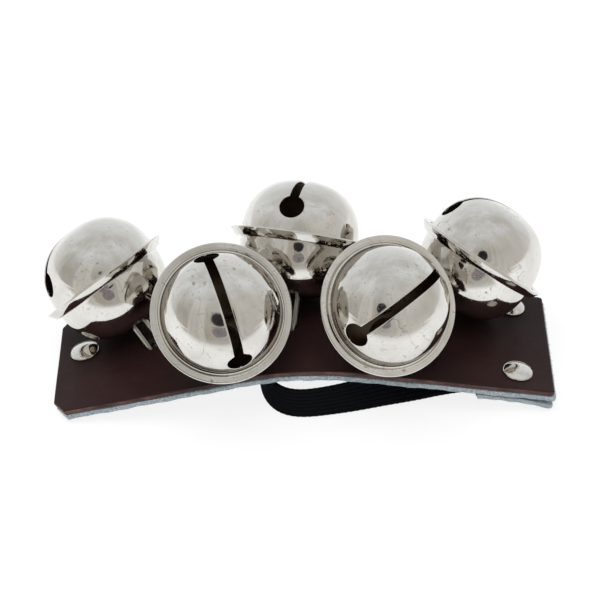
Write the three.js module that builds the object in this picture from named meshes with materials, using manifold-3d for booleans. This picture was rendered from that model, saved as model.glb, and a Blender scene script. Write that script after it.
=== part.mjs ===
// Wrist bells: five slotted jingle bells on a lined leather strap, closed round the
// wrist by a loop of flat elastic. Millimetres, +Z up, X along the strap, Y across it.
// The origin is the middle of the footprint, at the level of the table.
import * as THREE from "three";
import { mergeVertices } from "three/addons/utils/BufferGeometryUtils.js";
import Module from "manifold-3d";

const wasm = await Module();
wasm.setup();

// The strap: leather over a suede lining, bent over a crown with straight flanks. It
// reaches beyond the seats of the outer bells by the room at its ends.
const LEFT_ROOM = 25.12;
const RIGHT_ROOM = 28.77;
const STRAP_WIDTH = 38;
const LEATHER = 1.5;
const LINING = 1.2;
const GLUE = 0.15;
const CROWN_RADIUS = 78;
const FLANK_ANGLE = 0.179;
const CROWN_FACETS = 7;
const LEFT_CHAMFER_X = 3;
const LEFT_CHAMFER_Y = 4.5;
const LINING_BEYOND_RIGHT = 1;
const LINING_SHORT_LEFT = 0.3;

// The strap leans as it lies, because its right end is the thicker one
const REST_TILT = 0.0214;
const CROWN_HEIGHT = 14;

// The elastic, the patch that covers its ends, and the rivets
const ELASTIC_WIDTH = 8;
const ELASTIC = 1.1;
const ELASTIC_GAP = 0.15;
const PATCH = 1.1;
const PATCH_LENGTH = 18.2;
const TAB_FROM_END = 2.5;
const FOLD_GAP = 0.6;
const LIP_GAP = 0.3;
const LIP_LENGTH = 9;
const RIVET_CAP_R = 3.7;
const RIVET_CAP_H = 1.2;
const RIVET_RIM_H = 0.35;
const RIVET_EDGE = 0.2;
const RIVET_DOME_STEPS = [0.8, 0.5, 0.25];
const RIVET_POST_R = 1.5;
const RIVET_BACK_R = 3.2;
const RIVET_BACK_H = 1;
const RIVET_BACK_FLOOR = 0.35;
const RIVET_GAP = 0.2;
const RIVET_FROM_RIGHT = 8.6;
const RIVET_FROM_LEFT = 6.7;
const RIVET_FROM_FRONT = 6.7;
const RIVET_FROM_REAR = 5.5;
const STUD_OFF_MIDDLE = 3.2;

// One bell: two pressed sheet halves, fuller than a ball, with flatter poles and steeper
// sides; the bowl's flange is folded over the dome's
const BELL_R = 14.3;
const FULLNESS = 2.35;
const FLANGE_WIDTH = 2.5;
const SHEET = 0.5;
const HEM_GAP = 0.25;
const HEM_CLEAR = 0.25;
const SLOT_WIDTH = 2.1;
const SLOT_HOLE_R = 3;
const SLOT_HOLE_ANGLE = 1.08;
const FILLET_OUT = 0.4;
const FILLET_TOP = 1.3;
const EDGE_ROUND = 0.2;
const OUTER_STEPS = 6;
const INNER_STEPS = 4;
const PELLET_R = 4.5;
const PELLET_GAP = 0.3;
const PELLET_ROWS = 7;
const BELL_SEGMENTS = 22;
const SMALL_SEGMENTS = 12;

// The wire loop under each bell, and the pin that holds it below the leather
const WIRE_R = 0.6;
const LOOP_R = 1.75;
const WIRE_SIDES = 8;
const LOOP_STEPS = 7;
const PIN_R = 0.5;
const PIN_LENGTH = 9;
const PIN_GAP = 0.1;
const BELL_CLEAR = 0.35;
const PRONG_REACH = 3;
const PRONG_GAP = 0.3;
const PRONG_BEND = 0.4;
const HOLE_GAP = 0.25;
const LOOP_SIDE_ROOM = 0.45;
const SWING_ROOM = 1;
const POCKET_ROOM = 1.05;
const POCKET_WALL = 0.6;
const POCKET_ROWS = 6;

// Where each bell sits: distance from the crown along and across the strap in bell radii,
// direction and angle of its lean, and the turn of its slot about its own axis (degrees)
const BELLS = [
  { name: "left", along: -2.509, across: 0.057, yaw: -44.1, lean: 37.2, slot: -4.8 },
  { name: "front_left", along: -1.558, across: 0.413, yaw: 160.1, lean: 48.7, slot: 84.9 },
  { name: "rear_middle", along: -0.27, across: -0.104, yaw: 19.6, lean: 41.2, slot: 97.3 },
  { name: "front_right", along: 0.912, across: 0.375, yaw: 162.4, lean: 46.4, slot: 30.3 },
  { name: "right", along: 2.254, across: 0.158, yaw: 48.2, lean: 36.8, slot: 44.4 },
];

// The free elastic as it lies on the table, from the front leg round to the rear one: the
// middle of the band, in lengths and widths of the strap and widths of the elastic, and how
// far the band is turned up on its edge (degrees)
const ELASTIC_PATH = [
  { x: 0.29, y: -0.32, z: 0.59, turn: 11 },
  { x: 0.23, y: -0.322, z: 0.5, turn: 32 },
  { x: 0.164, y: -0.358, z: 0.485, turn: 55 },
  { x: 0.082, y: -0.452, z: 0.512, turn: 78 },
  { x: 0.0, y: -0.503, z: 0.512, turn: 86 },
  { x: -0.036, y: -0.482, z: 0.51, turn: 86 },
  { x: -0.061, y: -0.395, z: 0.51, turn: 86 },
  { x: -0.075, y: -0.284, z: 0.51, turn: 86 },
  { x: -0.081, y: -0.105, z: 0.51, turn: 86 },
  { x: -0.081, y: 0.105, z: 0.51, turn: 86 },
  { x: -0.07, y: 0.284, z: 0.51, turn: 86 },
  { x: -0.038, y: 0.418, z: 0.51, turn: 86 },
  { x: 0.016, y: 0.458, z: 0.51, turn: 84 },
  { x: 0.09, y: 0.442, z: 0.5, turn: 72 },
  { x: 0.164, y: 0.421, z: 0.475, turn: 54 },
  { x: 0.23, y: 0.392, z: 0.45, turn: 36 },
  { x: 0.295, y: 0.366, z: 0.537, turn: 16 },
];
const ELASTIC_STATIONS = 46;

const LEATHER_LOOK = { color: 0x2e2020, roughness: 0.55, metalness: 0 };
const SUEDE_LOOK = { color: 0xa6bac4, roughness: 0.95, metalness: 0 };
const ELASTIC_LOOK = { color: 0x121214, roughness: 0.8, metalness: 0 };
const NICKEL_LOOK = { color: 0xd8d4cc, roughness: 0.12, metalness: 1 };
const STEEL_LOOK = { color: 0x9a9894, roughness: 0.35, metalness: 1 };

const UP = new THREE.Vector3(0, 0, 1);
const ACROSS = new THREE.Vector3(0, 1, 0);
const LEFT_END = BELLS[0].along * BELL_R - LEFT_ROOM;
const RIGHT_END = BELLS.at(-1).along * BELL_R + RIGHT_ROOM;
const STRAP_LENGTH = RIGHT_END - LEFT_END;
const LINING_TOP = -LEATHER - GLUE;
const LINING_BOTTOM = LINING_TOP - LINING;
const TAB_TOP = LINING_BOTTOM - ELASTIC_GAP;
const PATCH_TOP = TAB_TOP - ELASTIC - ELASTIC_GAP;
const PATCH_BOTTOM = PATCH_TOP - PATCH;
const PATCH_START = RIGHT_END - PATCH_LENGTH;
const RIVETS_RIGHT_Y = {
  front: RIVET_FROM_FRONT - STRAP_WIDTH / 2,
  rear: STRAP_WIDTH / 2 - RIVET_FROM_REAR,
};
const PIN_DEPTH = LEATHER + PIN_GAP + PIN_R;
const LOOP_OUTER_R = LOOP_R + WIRE_R;
const INNER_R = BELL_R - SHEET;
const FLANGE_R = BELL_R + FLANGE_WIDTH;
const HEM_WIDTH = FLANGE_WIDTH - FILLET_OUT - HEM_CLEAR;
const POCKET = {
  x: LOOP_OUTER_R + POCKET_ROOM,
  y: PIN_LENGTH / 2 + POCKET_ROOM,
  z: LOOP_OUTER_R + PIN_DEPTH + LINING_TOP + PIN_GAP,
};

// Solids for cutting and joining

function solid(geometry) {
  const bare = new THREE.BufferGeometry();
  const flat = geometry.index ? geometry.toNonIndexed() : geometry;
  bare.setAttribute("position", flat.getAttribute("position"));
  const merged = mergeVertices(bare, 1e-4);
  const triVerts = [];
  for (let i = 0; i < merged.index.count; i += 3) {
    const [a, b, c] = merged.index.array.slice(i, i + 3);
    if (a !== b && b !== c && c !== a) triVerts.push(a, b, c);
  }
  return new wasm.Manifold(
    new wasm.Mesh({
      numProp: 3,
      vertProperties: merged.attributes.position.array,
      triVerts: new Uint32Array(triVerts),
    }),
  );
}

function geometryOf(body) {
  const mesh = body.getMesh();
  const geometry = new THREE.BufferGeometry();
  const position = new THREE.BufferAttribute(mesh.vertProperties, 3);
  geometry.setAttribute("position", position);
  geometry.setIndex(new THREE.BufferAttribute(mesh.triVerts, 1));
  return geometry;
}

// A closed body through rings of points, each ring with the same number of points
function throughRings(rings) {
  const size = rings[0].length;
  const position = rings.flat().flatMap((p) => [p.x, p.y, p.z]);
  const index = [];
  for (let i = 0; i + 1 < rings.length; i++) {
    for (let j = 0; j < size; j++) {
      const a = i * size + j;
      const b = i * size + ((j + 1) % size);
      index.push(a, b, b + size, a, b + size, a + size);
    }
  }
  const last = (rings.length - 1) * size;
  for (let j = 1; j + 1 < size; j++) {
    index.push(0, j + 1, j);
    index.push(last, last + j, last + j + 1);
  }
  const geometry = new THREE.BufferGeometry();
  geometry.setAttribute("position", new THREE.Float32BufferAttribute(position, 3));
  geometry.setIndex(index);
  return geometry;
}

// A body of revolution about Z from a closed profile of [radius, height]
function turned(profile, segments) {
  const points = profile.map(([r, h]) => new THREE.Vector2(r, h));
  return new THREE.LatheGeometry(points, segments).rotateX(Math.PI / 2);
}

function placed(geometry, group) {
  group.updateMatrixWorld(true);
  return geometry.clone().applyMatrix4(group.matrixWorld);
}

function node(parent, name, geometry, look) {
  const mesh = new THREE.Mesh(geometry, new THREE.MeshStandardMaterial(look));
  mesh.name = name;
  parent.add(mesh);
  return mesh;
}

// The bent strap: the point at arc length s from the crown, raised along the normal

function slopeAt(s) {
  return Math.sign(s) * Math.min(Math.abs(s) / CROWN_RADIUS, FLANK_ANGLE);
}

function onStrap(s, y, raised) {
  const angle = slopeAt(s);
  const straight = s - angle * CROWN_RADIUS;
  const radius = CROWN_RADIUS + raised;
  return new THREE.Vector3(
    radius * Math.sin(angle) + straight * Math.cos(angle),
    y,
    radius * Math.cos(angle) - CROWN_RADIUS - straight * Math.sin(angle),
  );
}

function crownStations() {
  const half = FLANK_ANGLE * CROWN_RADIUS;
  const at = (i) => -half + (2 * half * i) / CROWN_FACETS;
  return Array.from({ length: CROWN_FACETS + 1 }, (_, i) => at(i));
}

// A sheet that follows the strap between two heights; each station has its own width
function sheet(stations, top, bottom) {
  const rings = stations.map(({ s, y0, y1 }) => [
    onStrap(s, y0, bottom),
    onStrap(s, y1, bottom),
    onStrap(s, y1, top),
    onStrap(s, y0, top),
  ]);
  return throughRings(rings);
}

function wholeWidth(s) {
  return { s, y0: -STRAP_WIDTH / 2, y1: STRAP_WIDTH / 2 };
}

function strapStations(left, right) {
  const chamfered = {
    s: left,
    y0: -STRAP_WIDTH / 2 + LEFT_CHAMFER_Y,
    y1: STRAP_WIDTH / 2 - LEFT_CHAMFER_Y,
  };
  const inner = [left + LEFT_CHAMFER_X, ...crownStations(), right];
  return [chamfered, ...inner.map(wholeWidth)];
}

// A group standing on the strap: Z along its normal, turned about it by yaw
function seatAt(s, y, yaw) {
  const seat = new THREE.Group();
  seat.position.copy(onStrap(s, y, 0));
  seat.rotation.set(0, slopeAt(s), -yaw, "YXZ");
  return seat;
}

// Rivets: a low domed cap with its post, and a back cap that takes the post

function rivetCap(reach) {
  const foot = GLUE;
  const profile = [
    [0, -reach],
    [RIVET_POST_R, -reach],
    [RIVET_POST_R, foot],
    [RIVET_CAP_R - RIVET_EDGE, foot],
    [RIVET_CAP_R, foot + RIVET_RIM_H / 2],
    [RIVET_CAP_R - RIVET_EDGE, foot + RIVET_RIM_H],
  ];
  for (const part of RIVET_DOME_STEPS) {
    const rise = 1 - part * part;
    const height = RIVET_RIM_H + (RIVET_CAP_H - RIVET_RIM_H) * rise;
    profile.push([part * RIVET_CAP_R, foot + height]);
  }
  profile.push([0, foot + RIVET_CAP_H]);
  return turned(profile, SMALL_SEGMENTS);
}

function rivetBack() {
  const profile = [
    [0, -RIVET_BACK_H],
    [RIVET_BACK_R - 2 * RIVET_EDGE, -RIVET_BACK_H],
    [RIVET_BACK_R, -RIVET_BACK_H / 2],
    [RIVET_BACK_R - RIVET_EDGE, 0],
    [RIVET_POST_R + RIVET_GAP, 0],
    [RIVET_POST_R + RIVET_GAP, RIVET_BACK_FLOOR - RIVET_BACK_H],
    [0, RIVET_BACK_FLOOR - RIVET_BACK_H],
  ];
  return turned(profile, SMALL_SEGMENTS);
}

function rivetHole() {
  const bore = new THREE.CylinderGeometry(
    RIVET_POST_R + RIVET_GAP,
    RIVET_POST_R + RIVET_GAP,
    4 * STRAP_WIDTH,
    SMALL_SEGMENTS,
  );
  return bore.rotateX(Math.PI / 2);
}

const rightRivetS = RIGHT_END - RIVET_FROM_RIGHT;
const rivets = [
  { name: "front", seat: seatAt(rightRivetS, RIVETS_RIGHT_Y.front, 0), under: PATCH_BOTTOM },
  { name: "rear", seat: seatAt(rightRivetS, RIVETS_RIGHT_Y.rear, 0), under: PATCH_BOTTOM },
  { name: "left", seat: seatAt(LEFT_END + RIVET_FROM_LEFT, STUD_OFF_MIDDLE, 0), under: LINING_BOTTOM },
];

function withRivetHoles(body) {
  return rivets.reduce((b, { seat }) => b.subtract(solid(placed(rivetHole(), seat))), body);
}

// Bells. In a bell's own group the wire loop's pivot is the origin and Z is its axis.

// The round of a pressed half between two angles above the flange
function pressed(radius, from, to, steps) {
  return Array.from({ length: steps + 1 }, (_, i) => {
    const angle = from + ((to - from) * i) / steps;
    const [side, rise] = [Math.cos(angle), Math.sin(angle)];
    const fill = Math.abs(side) ** FULLNESS + Math.abs(rise) ** FULLNESS;
    const out = radius / fill ** (1 / FULLNESS);
    return [Math.max(out * side, 0), out * rise];
  });
}

function domeGeometry(slotTurn) {
  const half = SHEET / 2;
  const waist = Math.asin(FILLET_TOP / BELL_R);
  const foot = Math.asin(-half / INNER_R);
  const flangeEnd = FLANGE_R - SHEET - HEM_GAP;
  const profile = [
    ...pressed(INNER_R, Math.PI / 2, foot, INNER_STEPS),
    [flangeEnd, -half],
    [flangeEnd, half],
    [BELL_R + FILLET_OUT, half],
    [BELL_R + FILLET_OUT / 4, (half + FILLET_TOP) / 2],
    ...pressed(BELL_R, waist, Math.PI / 2, OUTER_STEPS),
  ];
  const shell = turned(profile, BELL_SEGMENTS);
  const low = BELL_R * Math.cos(SLOT_HOLE_ANGLE);
  const slit = new THREE.BoxGeometry(3 * BELL_R, SLOT_WIDTH, BELL_R);
  slit.translate(0, 0, low + BELL_R / 2).rotateZ(slotTurn);
  let body = solid(shell).subtract(solid(slit));
  for (const side of [-1, 1]) {
    const hole = new THREE.CylinderGeometry(SLOT_HOLE_R, SLOT_HOLE_R, BELL_R, SMALL_SEGMENTS);
    hole.rotateX(Math.PI / 2).translate(0, 0, BELL_R).rotateY(side * SLOT_HOLE_ANGLE);
    body = body.subtract(solid(hole.rotateZ(slotTurn)));
  }
  return geometryOf(body);
}

function bowlGeometry() {
  const near = SHEET / 2 + HEM_GAP;
  const far = near + SHEET;
  const profile = [
    ...pressed(BELL_R, -Math.PI / 2, Math.asin(-FILLET_TOP / BELL_R), OUTER_STEPS),
    [FLANGE_R - EDGE_ROUND, -far],
    [FLANGE_R, EDGE_ROUND - far],
    [FLANGE_R, far - EDGE_ROUND],
    [FLANGE_R - EDGE_ROUND, far],
    [FLANGE_R - HEM_WIDTH, far],
    [FLANGE_R - HEM_WIDTH, near],
    [FLANGE_R - SHEET, near],
    [FLANGE_R - SHEET, -near],
    ...pressed(INNER_R, Math.asin(-near / INNER_R), -Math.PI / 2, INNER_STEPS),
  ];
  const shell = turned(profile, BELL_SEGMENTS);
  let body = solid(shell);
  const boreR = WIRE_R + HOLE_GAP;
  for (const side of [-1, 1]) {
    const bore = new THREE.CylinderGeometry(boreR, boreR, BELL_R, WIRE_SIDES);
    bore.rotateX(Math.PI / 2).translate(side * LOOP_R, 0, -BELL_R);
    body = body.subtract(solid(bore));
  }
  return geometryOf(body);
}

// The bowl stands just clear of the leather, however far the bell leans
function pivotToCentre(lean) {
  const power = FULLNESS / (FULLNESS - 1);
  const fill = Math.cos(lean) ** power + Math.sin(lean) ** power;
  const reach = BELL_R * fill ** (1 / power);
  return (reach + PIN_DEPTH + BELL_CLEAR) / Math.cos(lean);
}

// The wire loop: a U round the pin, up through the bowl, its ends spread inside
function wireLoop(toCentre) {
  const floor = toCentre - INNER_R + WIRE_R + HOLE_GAP + PRONG_GAP;
  const prong = [
    [LOOP_R, floor - PRONG_BEND],
    [LOOP_R + PRONG_BEND, floor + PRONG_BEND],
    [LOOP_R + PRONG_REACH, floor + PRONG_REACH / 2],
  ];
  const bend = Array.from({ length: LOOP_STEPS + 1 }, (_, i) => {
    const angle = Math.PI + (Math.PI * i) / LOOP_STEPS;
    return [LOOP_R * Math.cos(angle), LOOP_R * Math.sin(angle)];
  });
  const path = [...prong.map(([x, z]) => [-x, z]).reverse(), ...bend, ...prong];
  const points = path.map(([x, z]) => new THREE.Vector3(x, 0, z));
  const rings = points.map((p, i) => {
    const before = points[Math.max(i - 1, 0)];
    const after = points[Math.min(i + 1, points.length - 1)];
    const along = after.clone().sub(before).normalize();
    const side = new THREE.Vector3().crossVectors(along, ACROSS);
    return Array.from({ length: WIRE_SIDES }, (_, j) => {
      const angle = (2 * Math.PI * j) / WIRE_SIDES;
      const out = side.clone().multiplyScalar(WIRE_R * Math.cos(angle));
      return p.clone().add(out).addScaledVector(ACROSS, WIRE_R * Math.sin(angle));
    });
  });
  return throughRings(rings.map((ring) => ring.reverse()));
}

function pelletGeometry() {
  return new THREE.SphereGeometry(PELLET_R, SMALL_SEGMENTS, PELLET_ROWS);
}

// Assembly. The strap group lies tilted on the table; the loose elastic is on the table.

const wristBells = new THREE.Group();
const strap = new THREE.Group();
strap.position.z = CROWN_HEIGHT;
strap.rotation.y = -REST_TILT;
wristBells.add(strap);

// Seats of the bells: the hole in the leather and the pocket in the lining follow them
const seats = BELLS.map(({ along, across, yaw, lean }) => ({
  seat: seatAt(along * BELL_R, across * BELL_R, THREE.MathUtils.degToRad(yaw)),
  lean: THREE.MathUtils.degToRad(lean),
}));

function loopHole({ seat, lean }) {
  const wide = 2 * (LOOP_OUTER_R + LOOP_SIDE_ROOM);
  const long = LEATHER * Math.tan(lean) + (2 * WIRE_R) / Math.cos(lean) + SWING_ROOM;
  const forward = (PIN_DEPTH - LEATHER / 2) * Math.tan(lean);
  const hole = new THREE.BoxGeometry(wide, long, 4 * LEATHER);
  return solid(placed(hole.translate(0, forward, 0), seat));
}

function pocket({ seat }, wall) {
  const bulge = new THREE.SphereGeometry(1, SMALL_SEGMENTS, POCKET_ROWS);
  bulge.scale(POCKET.x + wall, POCKET.y + wall, POCKET.z + wall);
  return solid(placed(bulge.translate(0, 0, LINING_TOP), seat));
}

const leatherSheet = sheet(strapStations(LEFT_END, RIGHT_END), 0, -LEATHER);
let leather = withRivetHoles(solid(leatherSheet));
for (const seat of seats) leather = leather.subtract(loopHole(seat));
node(strap, "leather_strap", geometryOf(leather), LEATHER_LOOK);

const liningStations = strapStations(LEFT_END + LINING_SHORT_LEFT, RIGHT_END + LINING_BEYOND_RIGHT);
const above = sheet(strapStations(2 * LEFT_END, 2 * RIGHT_END), CROWN_RADIUS / 2, LINING_TOP);
let lining = solid(sheet(liningStations, LINING_TOP, LINING_BOTTOM));
for (const seat of seats) lining = lining.add(pocket(seat, POCKET_WALL));
for (const seat of seats) lining = lining.subtract(pocket(seat, 0));
lining = withRivetHoles(lining.subtract(solid(above)));
node(strap, "suede_lining", geometryOf(lining), SUEDE_LOOK);

// The patch is held off the lining by the elastic, and meets it along two edge lips
const patchSpan = [PATCH_START, RIGHT_END + LINING_BEYOND_RIGHT / 2].map(wholeWidth);
let patch = solid(sheet(patchSpan, PATCH_TOP, PATCH_BOTTOM));
for (const y of Object.values(RIVETS_RIGHT_Y)) {
  const outer = (Math.sign(y) * STRAP_WIDTH) / 2;
  const inner = y + Math.sign(y) * (ELASTIC_WIDTH / 2 + LIP_GAP);
  const [y0, y1] = [outer, inner].sort((a, b) => a - b);
  const lip = [PATCH_START, PATCH_START + LIP_LENGTH].map((s) => ({ s, y0, y1 }));
  patch = patch.add(solid(sheet(lip, TAB_TOP, PATCH_BOTTOM)));
}
node(strap, "elastic_patch", geometryOf(withRivetHoles(patch)), SUEDE_LOOK);

for (const end of ["front", "rear"]) {
  const y = RIVETS_RIGHT_Y[end];
  const span = [PATCH_START + FOLD_GAP, RIGHT_END - TAB_FROM_END];
  const stations = span.map((s) => ({ s, y0: y - ELASTIC_WIDTH / 2, y1: y + ELASTIC_WIDTH / 2 }));
  const tab = withRivetHoles(solid(sheet(stations, TAB_TOP, TAB_TOP - ELASTIC)));
  node(strap, "elastic_tab_" + end, geometryOf(tab), ELASTIC_LOOK);
}

for (const { name, seat, under } of rivets) {
  const backTop = under - GLUE;
  const reach = -backTop + RIVET_BACK_H - RIVET_BACK_FLOOR - RIVET_GAP;
  node(seat, "rivet_cap_" + name, rivetCap(reach), NICKEL_LOOK);
  node(seat, "rivet_back_" + name, rivetBack(), NICKEL_LOOK).position.z = backTop;
  strap.add(seat);
}

for (const [i, { name, slot }] of BELLS.entries()) {
  const { seat, lean } = seats[i];
  const toCentre = pivotToCentre(lean);
  strap.add(seat);
  const pin = new THREE.CylinderGeometry(PIN_R, PIN_R, PIN_LENGTH, WIRE_SIDES);
  node(seat, "loop_pin_" + name, pin, STEEL_LOOK).position.z = -PIN_DEPTH;

  const bell = new THREE.Group();
  bell.position.z = -PIN_DEPTH;
  bell.rotation.x = -lean;
  seat.add(bell);
  node(bell, "wire_loop_" + name, wireLoop(toCentre), NICKEL_LOOK);

  const shell = new THREE.Group();
  shell.position.z = toCentre;
  bell.add(shell);
  node(shell, "bell_dome_" + name, domeGeometry(THREE.MathUtils.degToRad(slot)), NICKEL_LOOK);
  node(shell, "bell_bowl_" + name, bowlGeometry(), NICKEL_LOOK);

  // The pellet lies at the lowest place inside
  const pellet = node(shell, "pellet_" + name, pelletGeometry(), STEEL_LOOK);
  wristBells.updateMatrixWorld(true);
  const down = UP.clone().negate().transformDirection(shell.matrixWorld.clone().invert());
  pellet.position.copy(down.multiplyScalar(INNER_R - PELLET_R - PELLET_GAP));
}

// The loose elastic, from the fold in front of the patch round and back to it
const bandMiddle = TAB_TOP - ELASTIC / 2;
strap.updateMatrixWorld(true);
const foldAt = (y) => {
  const p = onStrap(PATCH_START - FOLD_GAP, y, bandMiddle).applyMatrix4(strap.matrixWorld);
  return { x: p.x, y: p.y, z: p.z, turn: 0 };
};
const free = ELASTIC_PATH.map(({ x, y, z, turn }) => ({
  x: x * STRAP_LENGTH,
  y: y * STRAP_WIDTH,
  z: z * ELASTIC_WIDTH,
  turn,
}));
const keys = [foldAt(RIVETS_RIGHT_Y.front), ...free, foldAt(RIVETS_RIGHT_Y.rear)];
const middle = new THREE.CatmullRomCurve3(
  keys.map(({ x, y, z }) => new THREE.Vector3(x, y, z)),
  false,
  "centripetal",
);
const turns = keys.map(({ turn }) => THREE.MathUtils.degToRad(turn));
const bandRings = Array.from({ length: ELASTIC_STATIONS + 1 }, (_, i) => {
  const t = i / ELASTIC_STATIONS;
  const at = Math.min(Math.floor(t * (keys.length - 1)), keys.length - 2);
  const turn = THREE.MathUtils.lerp(turns[at], turns[at + 1], t * (keys.length - 1) - at);
  const along = middle.getTangent(t);
  const out = new THREE.Vector3().crossVectors(UP, along).normalize();
  const wide = out.multiplyScalar(Math.cos(turn)).addScaledVector(UP, -Math.sin(turn));
  const thick = new THREE.Vector3().crossVectors(along, wide).normalize();
  const corner = (w, h) =>
    middle
      .getPoint(t)
      .addScaledVector(wide, (w * ELASTIC_WIDTH) / 2)
      .addScaledVector(thick, (h * ELASTIC) / 2);
  return [corner(-1, -1), corner(1, -1), corner(1, 1), corner(-1, 1)];
});
node(wristBells, "elastic_loop", throughRings(bandRings), ELASTIC_LOOK);

// The footprint's middle at table level becomes the origin
const box = new THREE.Box3().setFromObject(wristBells, true);
const foot = box.getCenter(new THREE.Vector3()).setZ(box.min.z);
for (const child of wristBells.children) child.position.sub(foot);

export default wristBells;
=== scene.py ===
import math

import bmesh
import bpy
import numpy as np
from mathutils import Matrix, Vector


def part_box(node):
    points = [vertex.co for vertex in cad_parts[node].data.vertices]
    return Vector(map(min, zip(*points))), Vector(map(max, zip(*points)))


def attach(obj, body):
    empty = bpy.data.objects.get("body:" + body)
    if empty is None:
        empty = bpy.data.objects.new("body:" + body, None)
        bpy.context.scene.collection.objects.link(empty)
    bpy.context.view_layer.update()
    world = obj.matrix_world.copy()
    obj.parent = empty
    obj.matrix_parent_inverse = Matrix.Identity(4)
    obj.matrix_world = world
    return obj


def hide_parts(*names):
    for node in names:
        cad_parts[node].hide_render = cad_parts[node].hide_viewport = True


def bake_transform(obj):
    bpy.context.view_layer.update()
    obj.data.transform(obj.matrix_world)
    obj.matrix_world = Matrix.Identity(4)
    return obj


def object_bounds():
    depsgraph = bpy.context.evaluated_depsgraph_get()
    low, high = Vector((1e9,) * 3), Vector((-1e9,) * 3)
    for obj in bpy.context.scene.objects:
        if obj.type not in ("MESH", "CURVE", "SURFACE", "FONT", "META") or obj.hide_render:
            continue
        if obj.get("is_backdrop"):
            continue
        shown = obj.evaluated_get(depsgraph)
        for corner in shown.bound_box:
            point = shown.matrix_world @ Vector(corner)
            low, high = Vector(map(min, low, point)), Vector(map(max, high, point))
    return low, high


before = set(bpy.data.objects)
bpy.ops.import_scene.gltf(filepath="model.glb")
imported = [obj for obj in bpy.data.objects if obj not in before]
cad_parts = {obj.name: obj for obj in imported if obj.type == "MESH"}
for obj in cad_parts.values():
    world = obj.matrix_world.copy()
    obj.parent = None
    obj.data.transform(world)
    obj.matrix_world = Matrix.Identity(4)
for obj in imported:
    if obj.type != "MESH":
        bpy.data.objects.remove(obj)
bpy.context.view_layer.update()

# Leather strap: one plate of dark brown leather, smooth side up, cut with two corners off
# its left end and pressed into a bend for the wrist. The cut edges are left raw, and five
# punched holes let the wire loops of the bells through.
MM = 0.001
LEFT_END, RIGHT_END = -60.999 * MM, 61.002 * MM
STRAP_WIDTH = 38 * MM
LEATHER = 1.5 * MM
CROWN_RADIUS = 78 * MM
FLANK_ANGLE = 0.179
REST_TILT = 0.0214
LEFT_CORNER = (3 * MM, 4.5 * MM)
RIGHT_CORNER = 1.1 * MM
STRAP_CELL = 0.8 * MM
STRAP_COLUMNS = 48
EDGE_ROWS = 5
EDGE_WAVER = 0.004
LEATHER_ROUND = 0.42 * MM
LEATHER_RIPPLE = 0.05 * MM
LEATHER_SINK = 0.1 * MM
LEATHER_SPARE = 0.35 * MM
CREASE = 50
BELL_R = 14.3 * MM
# seat of each bell along and across the strap in bell radii, direction and angle of its
# lean, and turn of its slot, in degrees
BELLS = {
    "left": (-2.509, 0.057, -44.1, 37.2, -4.8),
    "front_left": (-1.558, 0.413, 160.1, 48.7, 84.9),
    "rear_middle": (-0.27, -0.104, 19.6, 41.2, 95.8),
    "front_right": (0.912, 0.375, 162.4, 46.4, 30.3),
    "right": (2.254, 0.158, 48.2, 36.8, 44.4),
}
PIN_DEPTH = 2.1 * MM
LOOP_OUTER_R = 2.35 * MM
HOLE_SIDE_ROOM = 0.45 * MM
HOLE_SWING_ROOM = 1 * MM
WIRE_R = 0.6 * MM
HOLE_SIDES = 40
HOLE_SQUARING = 0.6
PUNCH_REACH = 3 * LEATHER


def slope_at(s):
    return np.clip(s / CROWN_RADIUS, -FLANK_ANGLE, FLANK_ANGLE)


def bent(s, y, raised):
    """Points on the strap, from its crown: s along the bend, y across, raised off its face."""
    s, y, raised = np.broadcast_arrays(s, y, raised)
    angle = slope_at(s)
    straight = s - angle * CROWN_RADIUS
    radius = CROWN_RADIUS + raised
    x = radius * np.sin(angle) + straight * np.cos(angle)
    z = radius * np.cos(angle) - CROWN_RADIUS - straight * np.sin(angle)
    lean, rise = math.cos(REST_TILT), math.sin(REST_TILT)
    return np.stack([lean * x - rise * z, y, rise * x + lean * z], axis=-1)


end_rows = np.array([LEFT_END, LEFT_END, RIGHT_END, RIGHT_END])
end_corners = bent(end_rows, 0, np.array([0, -LEATHER] * 2))
strap_low, strap_high = (np.array(corner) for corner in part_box("leather_strap"))
CROWN = strap_low - end_corners.min(axis=0)
CROWN[1] = (strap_low[1] + strap_high[1]) / 2


def on_strap(s, y, raised):
    return bent(s, y, raised) + CROWN


def seat_of(s, y, yaw=0.0):
    """A frame standing on the strap, its Z along the strap's normal."""
    place = Matrix.Translation(Vector(on_strap(s, y, 0)))
    tilt = Matrix.Rotation(float(slope_at(s)) - REST_TILT, 4, "Y")
    return place @ tilt @ Matrix.Rotation(-yaw, 4, "Z")


def piece(name, vertices, faces, *materials):
    mesh = bpy.data.meshes.new(name)
    mesh.from_pydata([tuple(v) for v in vertices], [], faces)
    mesh.polygons.foreach_set("use_smooth", [True] * len(mesh.polygons))
    for material in materials:
        mesh.materials.append(material)
    made = bpy.data.objects.new(name, mesh)
    bpy.context.scene.collection.objects.link(made)
    return made


def settled(made):
    """The piece with its modifiers worked into a plain mesh."""
    bpy.context.view_layer.update()
    shaped = made.evaluated_get(bpy.context.evaluated_depsgraph_get())
    mesh = bpy.data.meshes.new_from_object(shaped)
    made.modifiers.clear()
    made.data = mesh
    return made


def smooth_by_angle(made, degrees):
    """Smooth faces, with a crease wherever the surface turns by more than the angle."""
    mesh = made.data
    form = bmesh.new()
    form.from_mesh(mesh)
    for edge in form.edges:
        edge.smooth = edge.is_manifold and edge.calc_face_angle(0) < math.radians(degrees)
    for face in form.faces:
        face.smooth = True
    form.to_mesh(mesh)
    form.free()


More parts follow.
